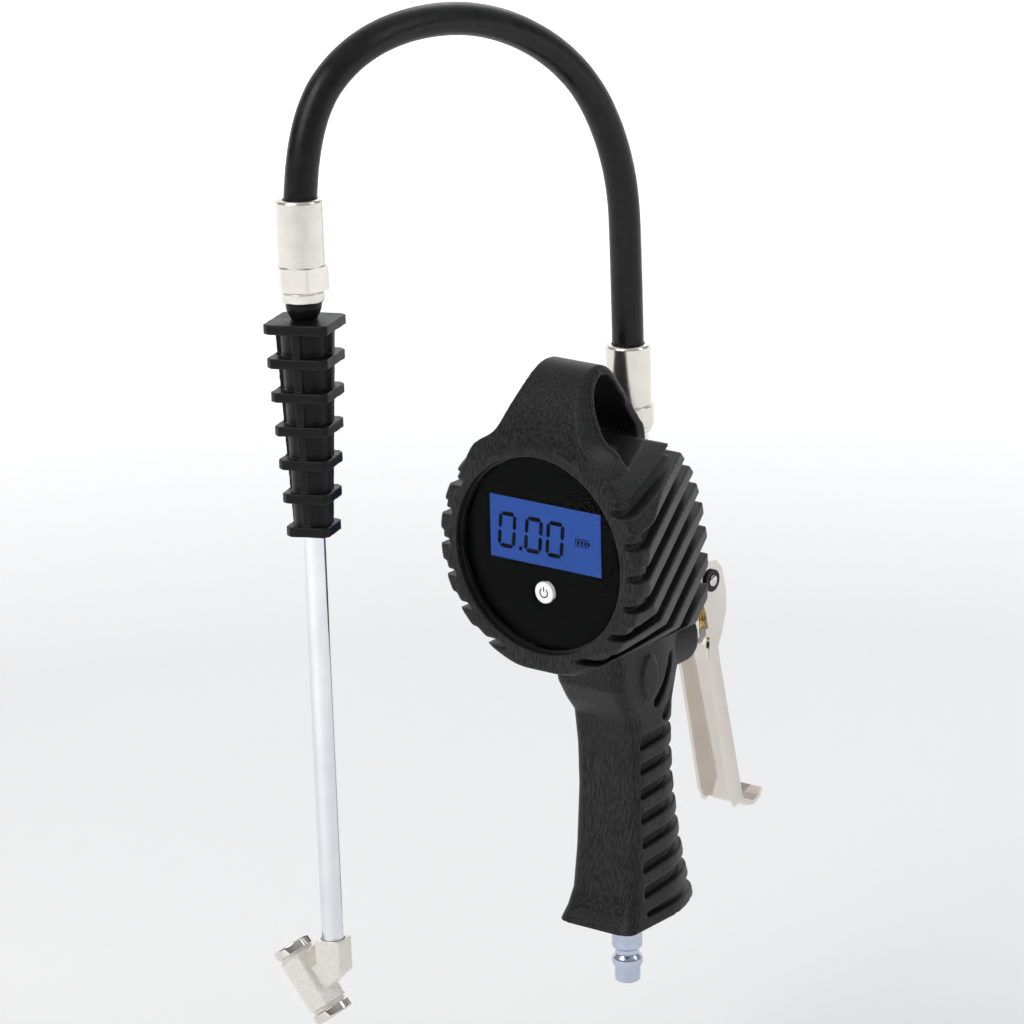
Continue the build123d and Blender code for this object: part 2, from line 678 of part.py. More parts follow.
def chuck_body():
    """Cast Y: an inclined hexagonal barrel that is open at both ends, and a square socket for the tube."""
    barrel = hexagon(14.2, (0, 0, -BARREL_HALF), 2 * BARREL_HALF, (0, 0, 1))
    barrel += Cylinder(6.4, 2 * BARREL_HALF + 3.2)
    socket = Pos(0, 0, SOCKET_TOP) * side_to_front(
        [(-4.9, 0), (4.9, 0), (4.9, -12.5), (-3.2, -20.5), (-9.5, -20), (-8, -12), (-4.9, -9.5)], 4.9)
    body = barrel_frame() * barrel + socket
    body -= rod(TUBE_R + 0.45, (0, 0, SOCKET_TOP - 1.2), (0, 0, SOCKET_TOP + 1))
    body -= rod(TUBE_R + 0.02, (0, 0, SOCKET_SEAT), (0, 0, SOCKET_TOP))
    body -= rod(2.0, (0, 0, SOCKET_TOP - 12), (0, 0, SOCKET_TOP))
    for sign in (-1, 1):
        body -= barrel_frame() * (Pos(0, 0, sign * 7.4) * Cylinder(4.6, 9.0))
    body -= barrel_frame() * Cylinder(1.6, 12)
    return wand_frame(CHUCK_TURN) * body


def side_to_front(points, half_depth):
    """Plate in the wand's x-z plane, centred on its axis."""
    outline = make_face(Polyline(*points, close=True))
    return extrude(FRONT_VIEW * outline, half_depth, both=True)


def barrel_ring(outer, inner, low, high, sign):
    ring = Pos(0, 0, sign * (low + high) / 2) * (Cylinder(outer, high - low) - Cylinder(inner, high - low))
    return on_barrel(ring)


def chuck_cap(sign):
    """Plain ring nut round one mouth of the chuck."""
    skirt = Cylinder(7.5, 3.8) - Cylinder(6.42, 3.8)
    face = Pos(0, 0, sign * 1.4) * (Cylinder(6.45, 1.0) - Cylinder(4.0, 1.0))
    cap = chamfer((skirt + face).edges().filter_by(GeomType.CIRCLE).sort_by(SortBy.RADIUS)[-2:], 0.5)
    return on_barrel(Pos(0, 0, sign * (CAP_END - 1.9)) * cap)


def chuck_seal(sign):
    return barrel_ring(6.3, 3.3, 12.1, 14.4, sign)


def chuck_pin(sign):
    """Pin that opens the tyre valve and unseats its own check valve."""
    pin = Pos(0, 0, sign * 7.8) * Cylinder(1.1, 6.4) + Pos(0, 0, sign * 5.9) * Cylinder(3.6, 1.4)
    return on_barrel(pin)


def chuck_spring(sign):
    start = 3.1 if sign > 0 else -5.1
    return on_barrel(coil(2.6, 0.3, 1.6, 2, (0, 0, start + 0.2), (0, 0, 1)))


# ---------------------------------------------------------------- export
SUBPARTS = {
    "rubber_boot": rubber_boot,
    "gauge_case": gauge_case,
    "battery_door": battery_door,
    "door_screws": door_screws,
    "lens": lens,
    "lens_gasket": lens_gasket,
    "faceplate": faceplate,
    "lcd_panel": lcd_panel,
    "power_button": power_button,
    "button_switch": button_switch,
    "circuit_board": circuit_board,
    "battery_holder": battery_holder,
    "battery_upper": lambda: battery(6.0),
    "battery_lower": lambda: battery(-6.0),
    "battery_contacts": battery_contacts,
    "pressure_sensor": pressure_sensor,
    "sensor_seal": sensor_seal,
    "valve_body": valve_body,
    "rear_plug": rear_plug,
    "handle_tube": handle_tube,
    "inlet_nipple": inlet_nipple,
    "nipple_seal": nipple_seal,
    "valve_seat": valve_seat,
    "valve_plunger": valve_plunger,
    "plunger_seal": plunger_seal,
    "plunger_spring": plunger_spring,
    "gland_nut": gland_nut,
    "lever": lever,
    "pivot_pin": pivot_pin,
    "pin_clips": pin_clips,
    "outlet_adapter": outlet_adapter,
    "body_ferrule": body_ferrule,
    "hose": hose,
    "wand_ferrule": wand_ferrule,
    "swivel_nut": swivel_nut,
    "swivel_ring": swivel_ring,
    "grip_cone": grip_cone,
    "wand_grip": wand_grip,
    "wand_tube": wand_tube,
    "chuck_body": chuck_body,
    "chuck_cap_upper": lambda: chuck_cap(1),
    "chuck_cap_lower": lambda: chuck_cap(-1),
    "chuck_seal_upper": lambda: chuck_seal(1),
    "chuck_seal_lower": lambda: chuck_seal(-1),
    "chuck_pin_upper": lambda: chuck_pin(1),
    "chuck_pin_lower": lambda: chuck_pin(-1),
    "chuck_spring_upper": lambda: chuck_spring(1),
    "chuck_spring_lower": lambda: chuck_spring(-1),
}

to_hook = Location((0, -HOOK_Y, -HOOK_Z))
for name, make in SUBPARTS.items():
    export_step(to_hook * make(), f"parts/{name}.step")
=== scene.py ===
import math

import bmesh
import bpy
from mathutils import Matrix, Vector


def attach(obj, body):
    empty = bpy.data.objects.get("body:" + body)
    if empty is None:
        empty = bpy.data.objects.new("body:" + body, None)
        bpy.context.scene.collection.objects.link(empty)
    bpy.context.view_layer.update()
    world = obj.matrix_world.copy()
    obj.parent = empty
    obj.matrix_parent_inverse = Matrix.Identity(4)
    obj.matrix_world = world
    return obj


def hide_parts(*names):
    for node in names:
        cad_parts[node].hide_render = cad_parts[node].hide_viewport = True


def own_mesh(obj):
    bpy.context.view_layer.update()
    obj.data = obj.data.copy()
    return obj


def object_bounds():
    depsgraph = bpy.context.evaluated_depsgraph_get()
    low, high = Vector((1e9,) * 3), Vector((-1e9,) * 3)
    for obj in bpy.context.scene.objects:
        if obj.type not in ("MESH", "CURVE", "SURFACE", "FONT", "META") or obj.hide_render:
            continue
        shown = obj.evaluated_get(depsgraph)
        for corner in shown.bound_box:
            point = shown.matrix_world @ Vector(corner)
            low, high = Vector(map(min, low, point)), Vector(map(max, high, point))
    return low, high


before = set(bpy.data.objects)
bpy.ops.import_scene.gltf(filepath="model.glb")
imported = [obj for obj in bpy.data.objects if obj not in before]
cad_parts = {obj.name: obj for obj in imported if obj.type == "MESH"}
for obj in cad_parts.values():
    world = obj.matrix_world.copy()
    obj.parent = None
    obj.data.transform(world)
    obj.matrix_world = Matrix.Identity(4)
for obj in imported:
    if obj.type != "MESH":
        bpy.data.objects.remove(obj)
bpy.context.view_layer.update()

# Looks of a hand-held digital tyre inflator. Lengths are in metres; MM turns millimetres into metres.
# Drawing positions are given about the centre of the bezel's front edge, as in the CAD source,
# and at() shifts them to the row's origin at the top of the hanging loop.

MM = 0.001
HOOK_Y = 26.0
HOOK_Z = 65.5
SPINE_Y = 59.0              # hose outlet axis
HANDLE_Y = 51.5             # inlet axis
VALVE_Z = -53.0             # lever valve axis
PIVOT_Y = 99.0              # lever pivot
PIVOT_Z = -35.0
HOSE_D = 12.0
HOSE_START_Z = 52.3         # bottom of the outlet ferrule's bore
FERRULE_TOP_Z = 68.3        # mouth of the outlet ferrule
WAND_TOP = (-28.0, -96.0, 153.6)
WAND_UP = (-0.043, 0.036, 1.0)
GRIP_TURN = 19.9            # degrees the wand's grip is turned about its axis
CHUCK_TURN = 11.3           # the same for the chuck
BARREL_TILT = 34.0          # degrees the chuck's barrel leans from the wand
BARREL_CENTRE = (-9.0, 0.0, -291.0)

LCD_Z = 6.8                 # middle of the display
LCD_FRONT = 5.5             # depth of the panel's face
BUTTON_Z = -15.2
BUTTON_FRONT = 3.7
BAR_WIDTH = 1.65            # of the digits' bars
BAR_GAP = 0.22              # from a bar's tip to its neighbour's
DIGIT_LEAN = 0.09
DIGIT_WIDTH = 6.6
DIGIT_HEIGHT = 12.6
DIGIT_LEFTS = (-21.6, -9.3, 0.7)

PATCH_SCALE = 90            # tone patches on plated metal, per metre
SHARP_ANGLE = 28            # degrees; edges sharper than this get a radius
ROUND_STEPS = 96            # sides of a turned part
SMALL_STEPS = 64            # sides of a small turned part

CAMERA_AZIMUTH = 37.86      # degrees to the viewer's right of straight ahead
CAMERA_ELEVATION = 17.46
CAMERA_ROLL = -1.41
CAMERA_DISTANCE = 2037.0
CAMERA_AIM = (-9.2, 16.5)   # aim point right and up of the bezel's centre, across the view
CAMERA_LENS = 193.4
FLOOR_DROP = 0.06           # metres below the tool's lowest point
FLOOR_REACH = 6.0           # metres to each side
SWEEP_START = 3.0           # metres behind the tool
SWEEP_RADIUS = 1.5
SWEEP_STEPS = 12


def at(x, y, z):
    """Point in the row frame, in metres, from drawing millimetres."""
    return Vector((x, y - HOOK_Y, z - HOOK_Z)) * MM


def axes_matrix(origin, x_axis, z_axis):
    """Matrix from a local frame in millimetres to the row frame in metres."""
    z_axis = Vector(z_axis).normalized()
    x_axis = Vector(x_axis)
    x_axis = (x_axis - z_axis * x_axis.dot(z_axis)).normalized()
    y_axis = z_axis.cross(x_axis)
    rotation = Matrix((x_axis, y_axis, z_axis)).transposed().to_4x4()
    return Matrix.Translation(at(*origin)) @ rotation @ Matrix.Scale(MM, 4)


def wand_matrix(turn):
    """Frame on the wand's axis: z up the wand, -y out of its front, zero at its ferrule's top."""
    angle = math.radians(turn)
    return axes_matrix(WAND_TOP, (math.cos(angle), math.sin(angle), 0), WAND_UP)


def direction(azimuth, elevation):
    """Unit vector from the tool towards a viewer, azimuth to their right of straight ahead, in degrees."""
    turn = math.radians(azimuth)
    rise = math.radians(elevation)
    return Vector((math.sin(turn) * math.cos(rise), -math.cos(turn) * math.cos(rise), math.sin(rise)))


# ---------------------------------------------------------------- camera
def make_camera():
    azimuth = math.radians(CAMERA_AZIMUTH)
    roll = math.radians(CAMERA_ROLL)
    back = direction(CAMERA_AZIMUTH, CAMERA_ELEVATION)
    level_right = Vector((math.cos(azimuth), math.sin(azimuth), 0))
    level_up = back.cross(level_right)
    right = level_right * math.cos(roll) + level_up * math.sin(roll)
    up = back.cross(right)
    aim = right * CAMERA_AIM[0] + up * CAMERA_AIM[1]
    data = bpy.data.cameras.new("camera")
    data.lens = CAMERA_LENS
    data.sensor_width = 36
    data.clip_end = 50
    camera = bpy.data.objects.new("camera", data)
    rotation = Matrix((right, up, back)).transposed().to_4x4()
    place = aim + back * CAMERA_DISTANCE
    camera.matrix_world = Matrix.Translation(at(place.x, place.y, place.z)) @ rotation
    bpy.context.scene.collection.objects.link(camera)
    bpy.context.scene.camera = camera


make_camera()


# ---------------------------------------------------------------- materials
class Shade:
    """A principled material with short calls for the procedural nodes that feed it."""

    def __init__(self, name, color, roughness, metallic=0.0):
        self.material = bpy.data.materials.new(name)
        self.material.use_nodes = True
        self.nodes = self.material.node_tree.nodes
        self.links = self.material.node_tree.links
        self.shader = self.nodes["Principled BSDF"]
        self.shader.inputs["Base Color"].default_value = (*color, 1)
        self.shader.inputs["Roughness"].default_value = roughness
        self.shader.inputs["Metallic"].default_value = metallic
        self.height = None

    def set(self, socket, value):
        self.shader.inputs[socket].default_value = value

    def coordinates(self, stretch=(1, 1, 1)):
        source = self.nodes.new("ShaderNodeTexCoord")
        mapping = self.nodes.new("ShaderNodeMapping")
        mapping.inputs["Scale"].default_value = stretch
        self.links.new(source.outputs["Object"], mapping.inputs["Vector"])
        return mapping.outputs["Vector"]

    def noise(self, scale, detail=3.0, stretch=(1, 1, 1)):
        texture = self.nodes.new("ShaderNodeTexNoise")
        texture.inputs["Scale"].default_value = scale
        texture.inputs["Detail"].default_value = detail
        self.links.new(self.coordinates(stretch), texture.inputs["Vector"])
        return texture.outputs["Fac"]

    def cells(self, scale):
        texture = self.nodes.new("ShaderNodeTexVoronoi")
        texture.inputs["Scale"].default_value = scale
        self.links.new(self.coordinates(), texture.inputs["Vector"])
        return texture.outputs["Distance"]

    def edges(self, low=0.5, high=0.56):
        """High on convex edges, from the mesh's own curvature."""
        geometry = self.nodes.new("ShaderNodeNewGeometry")
        return self.between(geometry.outputs["Pointiness"], 0, 1, low, high)

    def between(self, value, out_low, out_high, in_low=0.3, in_high=0.7):
        remap = self.nodes.new("ShaderNodeMapRange")
        self.links.new(value, remap.inputs["Value"])
        for socket, number in zip(("From Min", "From Max", "To Min", "To Max"),
                                  (in_low, in_high, out_low, out_high)):
            remap.inputs[socket].default_value = number
        return remap.outputs["Result"]

    def mix(self, factor, first, second):
        blend = self.nodes.new("ShaderNodeMix")
        blend.data_type = "RGBA"
        self.links.new(factor, blend.inputs["Factor"])
        for socket, value in ((blend.inputs["A"], first), (blend.inputs["B"], second)):
            if isinstance(value, tuple):
                socket.default_value = (*value, 1)
            else:
                self.links.new(value, socket)
        return blend.outputs["Result"]

    def color(self, value):
        self.links.new(value, self.shader.inputs["Base Color"])

    def roughness(self, value):
        self.links.new(value, self.shader.inputs["Roughness"])

    def bump(self, value, distance, strength=1.0):
        """Adds one layer of relief, distance in metres."""
        node = self.nodes.new("ShaderNodeBump")
        node.inputs["Distance"].default_value = distance
        node.inputs["Strength"].default_value = strength
        self.links.new(value, node.inputs["Height"])
        if self.height is not None:
            self.links.new(self.height, node.inputs["Normal"])
        self.height = node.outputs["Normal"]
        self.links.new(self.height, self.shader.inputs["Normal"])


def boot_rubber():
    """Dark moulded rubber: fine upright streaks with a painted sheen, dusty patches and paler worn edges."""
    shade = Shade("boot_rubber", (0.045, 0.045, 0.047), 0.5)
    streaks_and_sheen = shade.noise(1900, 3, (1, 1, 0.16))
    patches = shade.noise(55, 3)
    worn = shade.edges()
    # painted sheen: the streaks lighten the colour in fine upright highlights; they also set roughness and
    # relief
    painted_sheen = shade.between(streaks_and_sheen, 0, 1, 0.38, 0.64)
    tone = shade.mix(painted_sheen, (0.0015, 0.0015, 0.0017), (0.034, 0.034, 0.035))
    tone = shade.mix(shade.between(patches, 0, 0.3), tone, (0.006, 0.006, 0.0063))
    shade.color(shade.mix(shade.between(worn, 0, 0.4, 0, 1), tone, (0.045, 0.045, 0.047)))
    shade.roughness(shade.between(streaks_and_sheen, 0.36, 0.55))
    shade.set("Specular IOR Level", 0.24)
    shade.bump(shade.noise(5200, 2), 0.00003, 0.5)
    shade.bump(streaks_and_sheen, 0.00009, 0.5)
    return shade.material


def grip_rubber():
    """Smooth black rubber, a little paler on its edges."""
    shade = Shade("grip_rubber", (0.012, 0.012, 0.013), 0.45)
    shade.set("Specular IOR Level", 0.2)
    grain = shade.noise(3800, 3)
    worn = shade.edges()
    shade.color(shade.mix(shade.between(worn, 0, 0.5, 0, 1), (0.004, 0.004, 0.0045), (0.028, 0.028, 0.029)))
    shade.roughness(shade.between(shade.noise(160, 4), 0.32, 0.46))
    shade.bump(grain, 0.00003, 0.4)
    return shade.material


def hose_rubber():
    """Black hose cover with faint scuffs."""
    shade = Shade("hose_rubber", (0.010, 0.010, 0.011), 0.32)
    shade.set("Specular IOR Level", 0.26)
    scuffs = shade.noise(220, 5)
    shade.color(shade.mix(shade.between(scuffs, 0, 1), (0.004, 0.004, 0.0045), (0.011, 0.011, 0.0115)))
    shade.roughness(shade.between(scuffs, 0.26, 0.42))
    shade.bump(shade.noise(2600, 3), 0.00003, 0.3)
    return shade.material


def metal(name, color, dark, roughness, grain_scale, grain_height):
    """Plated metal with faint tone patches, uneven gloss and fine grain."""
    shade = Shade(name, color, roughness[0], 1.0)
    patches = shade.noise(PATCH_SCALE, 4)
    worn = shade.edges(0.53, 0.6)
    tone = shade.mix(shade.between(patches, 0, 1), color, dark)
    bright = tuple(min(1.0, c * 1.15) for c in color)
    shade.color(shade.mix(shade.between(worn, 0, 0.5, 0, 1), tone, bright))
    shade.roughness(shade.between(shade.noise(2 * PATCH_SCALE, 2), *roughness))
    shade.bump(shade.noise(grain_scale, 3), grain_height, 0.5)
    return shade.material


def blasted_metal():
    """Pale nickel with a sandy, pitted skin."""
    shade = Shade("blasted_nickel", (0.74, 0.71, 0.65), 0.42, 0.55)
    pits = shade.cells(1900)
    shade.color(shade.mix(shade.between(pits, 0, 1, 0.0, 0.7), (1.0, 0.98, 0.92), (0.80, 0.77, 0.71)))
    shade.roughness(shade.between(shade.noise(1500, 4), 0.30, 0.45))
    shade.bump(pits, 0.0002, 0.7)
    shade.bump(shade.noise(3400, 3), 0.00006, 0.6)
    return shade.material


def gloss_black():
    """Black printing behind the display window."""
    shade = Shade("gloss_black", (0.004, 0.004, 0.0045), 0.08)
    shade.set("Specular IOR Level", 0.03)
    cloud = shade.between(shade.noise(30, 3), 0, 1)
    shade.color(shade.mix(cloud, (0.001, 0.001, 0.0012), (0.002, 0.002, 0.0023)))
    shade.roughness(shade.between(shade.noise(400, 4), 0.05, 0.12))
    shade.bump(shade.noise(200, 2), 0.00001, 0.1)
    return shade.material


def black_plastic():
    """Matt black moulded plastic."""
    shade = Shade("black_plastic", (0.014, 0.014, 0.015), 0.4)
    cloud = shade.between(shade.noise(80, 3), 0, 1)
    shade.color(shade.mix(cloud, (0.010, 0.010, 0.011), (0.020, 0.020, 0.021)))
    shade.roughness(shade.between(shade.noise(900, 4), 0.34, 0.5))
    shade.bump(shade.noise(4200, 2), 0.00002, 0.5)
    return shade.material


def white_plastic():
    """White key with a faint painted glow."""
    shade = Shade("white_plastic", (0.86, 0.86, 0.85), 0.35)
    shade.color(shade.mix(shade.between(shade.noise(300, 3), 0, 1), (0.92, 0.92, 0.91), (0.86, 0.86, 0.85)))
    # painted glow: the key gives off a little light of its own to look whiter
    shade.set("Emission Color", (1, 1, 1, 1))
    shade.set("Emission Strength", 0.22)
    shade.roughness(shade.between(shade.noise(1200, 3), 0.3, 0.42))
    shade.bump(shade.noise(3000, 2), 0.00001, 0.3)
    return shade.material


def lcd_blue():
    """Blue backlit panel."""
    shade = Shade("lcd_blue", (0.004, 0.008, 0.03), 0.3)
    shade.set("Specular IOR Level", 0.1)
    glow = shade.mix(shade.between(shade.noise(40, 2), 0, 1), (0.020, 0.068, 0.30), (0.024, 0.078, 0.34))
    shade.links.new(glow, shade.shader.inputs["Emission Color"])
    shade.set("Emission Strength", 1.0)
    shade.roughness(shade.between(shade.noise(500, 2), 0.25, 0.35))
    return shade.material


def lcd_ink():
    """Near-black segments and symbols."""
    shade = Shade("lcd_ink", (0.004, 0.004, 0.006), 0.4)
    shade.set("Specular IOR Level", 0.05)
    cloud = shade.between(shade.noise(900, 2), 0, 1)
    shade.color(shade.mix(cloud, (0.003, 0.003, 0.005), (0.007, 0.007, 0.010)))
    shade.roughness(shade.between(shade.noise(900, 2), 0.35, 0.45))
    return shade.material


def clear_window():
    """Clear window with next to no reflection of its own."""
    shade = Shade("clear_window", (0.97, 0.98, 0.98), 0.02)
    shade.set("Transmission Weight", 1.0)
    shade.set("IOR", 1.07)
    shade.roughness(shade.between(shade.noise(60, 4), 0.0, 0.03))
    return shade.material


MATERIALS = {
    "boot": boot_rubber(),
    "grip": grip_rubber(),
    "hose": hose_rubber(),
    "nickel": metal("satin_nickel", (0.78, 0.75, 0.69), (0.74, 0.71, 0.65), (0.22, 0.28), 2600, 0.000006),
    "bright": metal("bright_nickel", (0.74, 0.69, 0.64), (0.69, 0.64, 0.59), (0.07, 0.12), 1500, 0.00001),
    "chrome": metal("chrome_tube", (0.80, 0.83, 0.85), (0.74, 0.77, 0.80), (0.13, 0.20), 1800, 0.00001),
    "zinc": metal("blue_zinc", (0.56, 0.62, 0.74), (0.48, 0.54, 0.66), (0.20, 0.32), 2400, 0.00002),
    "brass": metal("turned_brass", (0.83, 0.60, 0.22), (0.70, 0.48, 0.16), (0.16, 0.28), 2200, 0.00002),
    "steel": metal("plain_steel", (0.60, 0.59, 0.58), (0.48, 0.47, 0.46), (0.22, 0.36), 2200, 0.00002),
    "oxide": metal("black_oxide", (0.035, 0.035, 0.038), (0.02, 0.02, 0.022), (0.30, 0.42), 2600, 0.00002),
    "blasted": blasted_metal(),
    "gloss_black": gloss_black(),
    "black_plastic": black_plastic(),
    "white_plastic": white_plastic(),
    "lcd_blue": lcd_blue(),
    "lcd_ink": lcd_ink(),
    "window": clear_window(),
}


# ---------------------------------------------------------------- building helpers
def link(name, mesh, material, body="base", replaces=()):
    """Object made of a mesh, riding on a body and standing for the CAD nodes that it replaces."""
    piece = bpy.data.objects.new(name, mesh)
    bpy.context.scene.collection.objects.link(piece)
    mesh.materials.clear()
    mesh.materials.append(MATERIALS[material])
    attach(piece, body)
    if replaces:
        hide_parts(*replaces)
    return piece


def link_shape(name, shape, matrix, material, body="base", replaces=()):
    """Object made of a bmesh drawn in a local frame."""
    shape.transform(matrix)
    mesh = bpy.data.meshes.new(name)
    shape.to_mesh(mesh)
    shape.free()
    return link(name, mesh, material, body, replaces)


def round_edges(piece, width):
    """Small even radius on every sharp edge, with smooth shading across it."""
    for polygon in piece.data.polygons:
        polygon.use_smooth = True
    bevel = piece.modifiers.new("edge_radius", "BEVEL")
    bevel.width = width * MM
    bevel.segments = 3
    bevel.limit_method = "ANGLE"
    bevel.angle_limit = math.radians(SHARP_ANGLE)
    bevel.use_clamp_overlap = True
    normals = piece.modifiers.new("even_normals", "WEIGHTED_NORMAL")
    normals.keep_sharp = True


def lathe_ring(shape, radius, height, steps):
    """Ring of corners about local z, or one corner where it lies on the axis."""
    if radius == 0:
        return [shape.verts.new((0, 0, height))]
    angles = [2 * math.pi * step / steps for step in range(steps)]
    return [shape.verts.new((radius * math.cos(a), radius * math.sin(a), height)) for a in angles]


def lathe_faces(shape, low, high, steps):
    """Band of faces between two rings, or a fan where one of them is a single corner."""
    for step in range(steps):
        after = (step + 1) % steps
        if len(low) == 1:
            shape.faces.new((low[0], high[step], high[after]))
        elif len(high) == 1:
            shape.faces.new((low[step], low[after], high[0]))
        else:
            shape.faces.new((low[step], low[after], high[after], high[step]))


def lathe(name, profile, matrix, material, replaces, rounding, body="base", steps=ROUND_STEPS):
    """Solid of revolution about local z from (radius, height) corners in millimetres.

    A profile that starts on the axis ends on it too; any other one closes on itself and leaves a bore.
    """
    shape = bmesh.new()
    rings = [lathe_ring(shape, radius, height, steps) for radius, height in profile]
    pairs = list(zip(rings, rings[1:]))
    if profile[0][0] > 0:
        pairs.append((rings[-1], rings[0]))
    for low, high in pairs:
        lathe_faces(shape, low, high, steps)
    bmesh.ops.recalc_face_normals(shape, faces=shape.faces)
    piece = link_shape(name, shape, matrix, material, body, (replaces,))
    if rounding:
        round_edges(piece, rounding)


def moulded(node, material, voxel, rounds, keep):
    """Copy of a CAD part with all its edges rounded, as a moulding or a casting has them."""
    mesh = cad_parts[node].data.copy()
    piece = link(node + "_moulded", mesh, material, replaces=(node,))
    remesh = piece.modifiers.new("even_mesh", "REMESH")
    remesh.mode = "VOXEL"
    remesh.voxel_size = voxel * MM
    remesh.use_smooth_shade = True
    smooth = piece.modifiers.new("rounding", "SMOOTH")
    smooth.factor = 0.5
    smooth.iterations = rounds
    thin = piece.modifiers.new("fewer_faces", "DECIMATE")
    thin.ratio = keep


def machined(node, material, rounding=0):
    """CAD part kept as it is, with a small radius on its sharp edges where one is asked for."""
    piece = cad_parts[node]
    piece.data.materials.clear()
    piece.data.materials.append(MATERIALS[material])
    if rounding:
        flat = piece.modifiers.new("merge_flats", "DECIMATE")
        flat.decimate_type = "DISSOLVE"
        flat.angle_limit = math.radians(1.0)
        bevel = piece.modifiers.new("edge_radius", "BEVEL")
        bevel.width = rounding * MM
        bevel.segments = 2
        bevel.limit_method = "ANGLE"
        bevel.angle_limit = math.radians(SHARP_ANGLE)
        piece.modifiers.new("even_normals", "WEIGHTED_NORMAL")


# ---------------------------------------------------------------- hose
def wand_point(drop):
    """Point on the wand's axis, a given way below its ferrule's top."""
    return Vector(WAND_TOP) - Vector(WAND_UP).normalized() * drop


def hose_route():
    """The route's corner points, as in the CAD source: up from the body, over, and down to the wand."""
    start = Vector((0, SPINE_Y, 0))
    span = Vector((WAND_TOP[0], WAND_TOP[1], 0)) - start

    def over(distance, height):
        spot = start + span * (distance / span.length)
        return (spot.x, spot.y, height)

    return [(0, SPINE_Y, HOSE_START_Z), (0, SPINE_Y, 93.0), over(1.4, 139.5), over(23.6, 180.3),
            over(71.5, 207.0), over(126.5, 206.8), tuple(wand_point(-25.0)), tuple(wand_point(16.0))]


def make_hose():
    """The hose as one smooth curve, and its length in metres."""
    curve = bpy.data.curves.new("rubber_hose", "CURVE")
    curve.dimensions = "3D"
    points = [at(*p) for p in hose_route()]
    spline = curve.splines.new("NURBS")
    spline.points.add(len(points) - 1)
    for point, place in zip(spline.points, points):
        point.co = (*place, 1)
    spline.order_u = 3
    spline.use_endpoint_u = True
    spline.resolution_u = 24
    curve.bevel_depth = HOSE_D / 2 * MM
    curve.bevel_resolution = 10
    curve.use_fill_caps = True
    piece = bpy.data.objects.new("rubber_hose", curve)
    bpy.context.scene.collection.objects.link(piece)
    curve.materials.append(MATERIALS["hose"])
    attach(piece, "base")
    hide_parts("hose")
    line = curve.copy()
    line.bevel_depth = 0
    probe = bpy.data.objects.new("hose_line", line)
    mesh = bpy.data.meshes.new_from_object(probe)
    length = sum((a.co - b.co).length for a, b in zip(mesh.vertices, mesh.vertices[1:]))
    bpy.data.objects.remove(probe)
    return piece, length


hose, hose_length = make_hose()


# ---------------------------------------------------------------- gauge face
def depth_matrix(y):
    """Local x-y plane drawn on the display's plane: x to the right, y up, z out to the viewer."""
    return axes_matrix((0, y, 0), (1, 0, 0), (0, -1, 0))


def segment_bar(start, end):
    """Six-sided bar between two points with pointed ends, leaned over as the digits are."""
    along = (end - start).normalized()
    side = Vector((-along.y, along.x)) * BAR_WIDTH / 2
    neck = along * BAR_WIDTH / 2
    first = start + along * BAR_GAP
    last = end - along * BAR_GAP
    points = [first, first + neck + side, last - neck + side, last, last - neck - side, first + neck - side]
    return [(p.x + p.y * DIGIT_LEAN, p.y) for p in points]


def nought_bars(left, base):
    """The six bars of a seven-segment nought."""
    middle = base + DIGIT_HEIGHT / 2
    top = base + DIGIT_HEIGHT
    right = left + DIGIT_WIDTH
    ends = [((left, top), (right, top)), ((left, middle), (left, top)), ((right, middle), (right, top)),
            ((left, base), (left, middle)), ((right, base), (right, middle)), ((left, base), (right, base))]
    return [segment_bar(Vector(start), Vector(end)) for start, end in ends]


def rectangle(left, low, right, high):
    return [(left, low), (right, low), (right, high), (left, high)]


def flat_bars(name, outlines, y, thickness, body="base"):
    """Thin raised shapes on the display's plane."""
    shape = bmesh.new()
    for outline in outlines:
        low = [shape.verts.new((x, z, 0)) for x, z in outline]
        high = [shape.verts.new((x, z, thickness)) for x, z in outline]
        shape.faces.new(list(reversed(low)))
        shape.faces.new(high)
        for index in range(len(outline)):
            after = (index + 1) % len(outline)
            shape.faces.new((low[index], low[after], high[after], high[index]))
    bmesh.ops.recalc_face_normals(shape, faces=shape.faces)
    link_shape(name, shape, depth_matrix(y), "lcd_ink", body)


def battery_symbol(left, low, right, high):
    """Outlined battery with its tip on the right and three bars of charge."""
    line = 0.35
    tip = 0.7
    margin = 0.8
    inset = 0.7
    bars = [rectangle(left, low, right, low + line), rectangle(left, high - line, right, high),
            rectangle(left, low, left + line, high), rectangle(right - line, low, right, high),
            rectangle(right, low + margin, right + tip, high - margin)]
    for index in range(3):
        start = left + margin + 1.65 * index
        bars.append(rectangle(start, low + inset, start + 1.1, high - inset))
    return bars


def make_display():
    """Three noughts with a decimal point after the first, and a battery symbol."""
    base = LCD_Z - 7.2
    bars = []
    for left in DIGIT_LEFTS:
        bars += nought_bars(left, base)
    bars.append([(-12.4, base - 0.7), (-11.0, base - 0.7), (-10.8, base + 0.9), (-12.2, base + 0.9)])
    bars += battery_symbol(14.0, LCD_Z - 1.6, 20.0, LCD_Z + 1.4)
    flat_bars("lcd_digits", bars, LCD_FRONT - 0.01, 0.05)


def ring_bar(radius, thickness, start, end, steps):
    """Part of a ring as one outline, angles in degrees."""
    angles = [math.radians(start + (end - start) * step / steps) for step in range(steps + 1)]
    outside = radius + thickness / 2
    inside = radius - thickness / 2
    outer = [(outside * math.cos(a), outside * math.sin(a)) for a in angles]
    inner = [(inside * math.cos(a), inside * math.sin(a)) for a in angles]
    return outer + inner[::-1]


